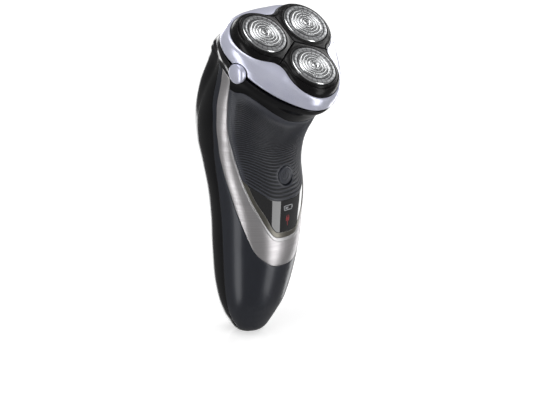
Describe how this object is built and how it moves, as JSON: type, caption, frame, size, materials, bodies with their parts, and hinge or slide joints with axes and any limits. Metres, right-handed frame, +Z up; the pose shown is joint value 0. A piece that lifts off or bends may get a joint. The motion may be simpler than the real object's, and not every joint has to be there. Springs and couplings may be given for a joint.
{
  "type": "electric shaver",
  "caption": "Rotary electric shaver with a slim tilted-head handle, flip-open shaving unit with round guards, pop-up trimmer and push buttons.",
  "frame": {"origin": "centre of the flat foot that the handle stands on", "axes": "+Z up along the handle towards the shaving head, -Y to the front with the power button, +X to the side with the head's hinge"},
  "size_m": [0.0636, 0.0766, 0.1616],
  "materials": {
    "front_plastic": "satin metallic paint",
    "gloss_black": "polished",
    "brushed": "brushed",
    "bronze": "satin",
    "grip": "matt, ribbed",
    "window": "clear-coated",
    "silver": "satin",
    "chrome": "polished",
    "satin_black": "satin",
    "inner": "moulded",
    "nylon": "moulded",
    "steel": "machined",
    "board": "solder mask",
    "cell": "sleeved",
    "seal": "moulded",
    "light": "translucent"
  },
  "bodies": {
    "handle": {"back_shell": "gloss_black", "front_shell": "front_plastic", "trim_band": "brushed", "rubber_grip": "grip", "window_bezel": "bronze", "display_window": "window", "inner_frame": "inner", "chassis": "inner", "circuit_board": "board", "board_screw_1": "steel", "board_screw_2": "steel", "battery_cell": "cell", "power_switch": "satin_black", "charge_light": "light", "plug_light": "light", "charging_socket": "satin_black", "inlet_pin_1": "steel", "inlet_pin_2": "steel", "head_collar": "gloss_black", "hinge_pin": "steel", "hair_chamber": "satin_black", "gear_plate": "nylon", "motor": "steel", "release_spring": "steel", "trimmer_pin": "steel", "spindle_seal_1": "seal", "spindle_seal_2": "seal", "spindle_seal_3": "seal", "chamber_screw_1": "steel", "chamber_screw_2": "steel", "chamber_screw_3": "steel", "motor_screw_1": "steel", "motor_screw_2": "steel", "motor_screw_3": "steel"},
    "power_button": {"power_button": "grip"},
    "release_button": {"release_button": "silver"},
    "trimmer_slide": {"trimmer_slide": "satin_black"},
    "trimmer": {"trimmer_housing": "gloss_black", "trimmer_comb": "steel"},
    "trimmer_blade": {"trimmer_blade": "steel"},
    "pinion": {"motor_pinion": "steel"},
    "shaving_unit": {"head_frame": "silver", "retaining_frame": "satin_black", "retaining_lock": "inner"},
    "spindle_1": {"drive_spindle_1": "nylon"},
    "petal_1": {"petal_1": "satin_black"},
    "guard_1": {"guard_1": "chrome"},
    "cutter_1": {"cutter_1": "steel"},
    "spindle_2": {"drive_spindle_2": "nylon"},
    "petal_2": {"petal_2": "satin_black"},
    "guard_2": {"guard_2": "chrome"},
    "cutter_2": {"cutter_2": "steel"},
    "spindle_3": {"drive_spindle_3": "nylon"},
    "petal_3": {"petal_3": "satin_black"},
    "guard_3": {"guard_3": "chrome"},
    "cutter_3": {"cutter_3": "steel"}
  },
  "joints": [
    {"name": "shaving_unit_hinge", "type": "hinge", "parent": "handle", "child": "shaving_unit", "pos_m": [0.0296, -0.02273, 0.13978], "axis": [0, 0.7923, 0.6101], "range_deg": [0, 110]},
    {"name": "motor_spin", "type": "hinge", "parent": "handle", "child": "pinion", "pos_m": [0, -0.0306, 0.15], "axis": [0, -0.6101, 0.7923], "continuous": true},
    {"name": "spindle_spin_1", "type": "hinge", "parent": "handle", "child": "spindle_1", "pos_m": [0.01356, -0.0244, 0.15478], "axis": [0, -0.6101, 0.7923], "continuous": true},
    {"name": "spindle_spin_2", "type": "hinge", "parent": "handle", "child": "spindle_2", "pos_m": [-0.01356, -0.0244, 0.15478], "axis": [0, -0.6101, 0.7923], "continuous": true},
    {"name": "spindle_spin_3", "type": "hinge", "parent": "handle", "child": "spindle_3", "pos_m": [0, -0.04301, 0.14044], "axis": [0, -0.6101, 0.7923], "continuous": true},
    {"name": "petal_flex_1", "type": "hinge", "parent": "shaving_unit", "child": "petal_1", "pos_m": [0.0026, -0.02575, 0.14616], "axis": [-0.5, 0.6861, 0.5284], "range_deg": [0, 3], "stiffness_Nm_per_rad": 0.6},
    {"name": "guard_float_1", "type": "slide", "parent": "petal_1", "child": "guard_1", "axis": [0, 0.6101, -0.7923], "range_m": [0, 0.0008], "stiffness_N_per_m": 600},
    {"name": "cutter_spin_1", "type": "hinge", "parent": "guard_1", "child": "cutter_1", "pos_m": [0.01356, -0.0244, 0.15478], "axis": [0, -0.6101, 0.7923], "continuous": true},
    {"name": "petal_flex_2", "type": "hinge", "parent": "shaving_unit", "child": "petal_2", "pos_m": [-0.0026, -0.02575, 0.14616], "axis": [-0.5, -0.6861, -0.5284], "range_deg": [0, 3], "stiffness_Nm_per_rad": 0.6},
    {"name": "guard_float_2", "type": "slide", "parent": "petal_2", "child": "guard_2", "axis": [0, 0.6101, -0.7923], "range_m": [0, 0.0008], "stiffness_N_per_m": 600},
    {"name": "cutter_spin_2", "type": "hinge", "parent": "guard_2", "child": "cutter_2", "pos_m": [-0.01356, -0.0244, 0.15478], "axis": [0, -0.6101, 0.7923], "continuous": true},
    {"name": "petal_flex_3", "type": "hinge", "parent": "shaving_unit", "child": "petal_3", "pos_m": [0, -0.02932, 0.14342], "axis": [1, 0, 0], "range_deg": [0, 3], "stiffness_Nm_per_rad": 0.6},
    {"name": "guard_float_3", "type": "slide", "parent": "petal_3", "child": "guard_3", "axis": [0, 0.6101, -0.7923], "range_m": [0, 0.0008], "stiffness_N_per_m": 600},
    {"name": "cutter_spin_3", "type": "hinge", "parent": "guard_3", "child": "cutter_3", "pos_m": [0, -0.04301, 0.14044], "axis": [0, -0.6101, 0.7923], "continuous": true},
    {"name": "release_button_press", "type": "slide", "parent": "handle", "child": "release_button", "axis": [1, 0, 0], "range_m": [0, 0.0015], "stiffness_N_per_m": 700, "deforming": ["release_spring"]},
    {"name": "power_button_press", "type": "slide", "parent": "handle", "child": "power_button", "axis": [0, 1, 0], "range_m": [0, 0.0008], "stiffness_N_per_m": 900},
    {"name": "trimmer_slide_travel", "type": "slide", "parent": "handle", "child": "trimmer_slide", "axis": [0, -0.2209, -0.9753], "range_m": [0, 0.006]},
    {"name": "trimmer_hinge", "type": "hinge", "parent": "handle", "child": "trimmer", "pos_m": [0, 0.01887, 0.10175], "axis": [-1, 0, 0], "range_deg": [0, 75]},
    {"name": "trimmer_blade_stroke", "type": "slide", "parent": "trimmer", "child": "trimmer_blade", "axis": [1, 0, 0], "range_m": [-0.0008, 0.0008]}
  ],
  "couplings": [
    {"joint": "spindle_spin_1", "follows": "motor_spin", "ratio": -0.9},
    {"joint": "spindle_spin_2", "follows": "motor_spin", "ratio": -0.9},
    {"joint": "spindle_spin_3", "follows": "motor_spin", "ratio": -0.9},
    {"joint": "cutter_spin_1", "follows": "motor_spin", "ratio": -0.9},
    {"joint": "cutter_spin_2", "follows": "motor_spin", "ratio": -0.9},
    {"joint": "cutter_spin_3", "follows": "motor_spin", "ratio": -0.9},
    {"joint": "trimmer_hinge", "follows": "trimmer_slide_travel", "rad_per_m": 218.17}
  ]
}
